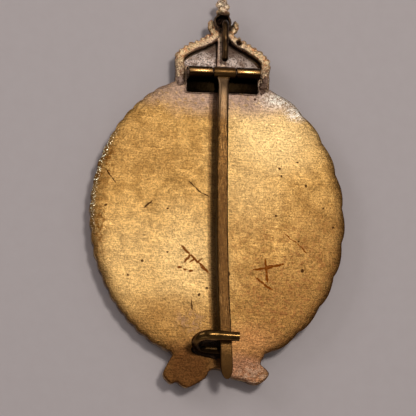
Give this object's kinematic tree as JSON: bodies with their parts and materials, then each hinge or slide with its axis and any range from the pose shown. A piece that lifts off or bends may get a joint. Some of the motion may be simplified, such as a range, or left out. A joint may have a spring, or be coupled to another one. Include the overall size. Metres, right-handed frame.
{
  "type": "pin-back badge",
  "caption": "Oval hollow wreath badge with a crown above and ribbon tails below, a hinged brooch pin on its back and a wire catch.",
  "frame": {"origin": "on the surface the badge lies on, face down, under the middle of its outline", "axes": "+Z out of the back of the badge, +Y towards the crown, +X to the right as seen from behind"},
  "size_m": [0.0464, 0.0728, 0.0092],
  "materials": {
    "gilt_brass": "worn gilt over struck brass sheet, fine scratches",
    "aged_brass": "darkened solid brass, satin",
    "dark_patina": "brass with near-black tarnish",
    "grey_solder": "dull tin solder, grainy",
    "steel_axle": "dull steel wire"
  },
  "bodies": {
    "badge": {"wreath_shell": "gilt_brass", "back_plate": "gilt_brass", "crown_shell": "gilt_brass", "crown_lining": "grey_solder", "rim_solder": "grey_solder", "crown_solder": "grey_solder", "hinge_solder": "grey_solder", "catch_solder": "grey_solder", "crown_stay_wire": "aged_brass", "catch_hook": "aged_brass", "hinge_leaf": "dark_patina", "hinge_axle": "steel_axle"},
    "pin": {"brooch_pin": "aged_brass"}
  },
  "joints": [
    {"name": "pin_hinge", "type": "hinge", "parent": "badge", "child": "pin", "pos_m": [-0.00004, 0.0209, 0.0061], "axis": [-0.999, -0.0436, 0], "range_deg": [0, 120]}
  ]
}
